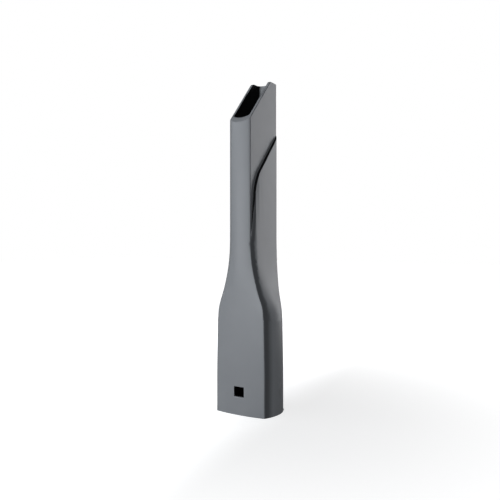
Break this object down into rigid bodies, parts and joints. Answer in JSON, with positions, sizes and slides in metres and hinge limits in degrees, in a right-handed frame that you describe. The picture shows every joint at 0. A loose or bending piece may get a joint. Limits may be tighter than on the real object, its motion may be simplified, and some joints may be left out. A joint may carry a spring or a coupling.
{
  "type": "vacuum crevice tool",
  "caption": "Long narrow vacuum crevice tool: a rounded socket with a latch window flares in to a tall slim neck that ends in a slanted open mouth.",
  "frame": {"origin": "middle of the box round the part, on the plane of the socket's rim that it stands on", "axes": "+Z from the socket up to the mouth, -Y out of the front face with the latch window, +X across the tool"},
  "size_m": [0.0536, 0.048, 0.27],
  "materials": {
    "shell": "satin"
  },
  "bodies": {
    "root": {"crevice_tool": "shell"}
  },
  "joints": []
}
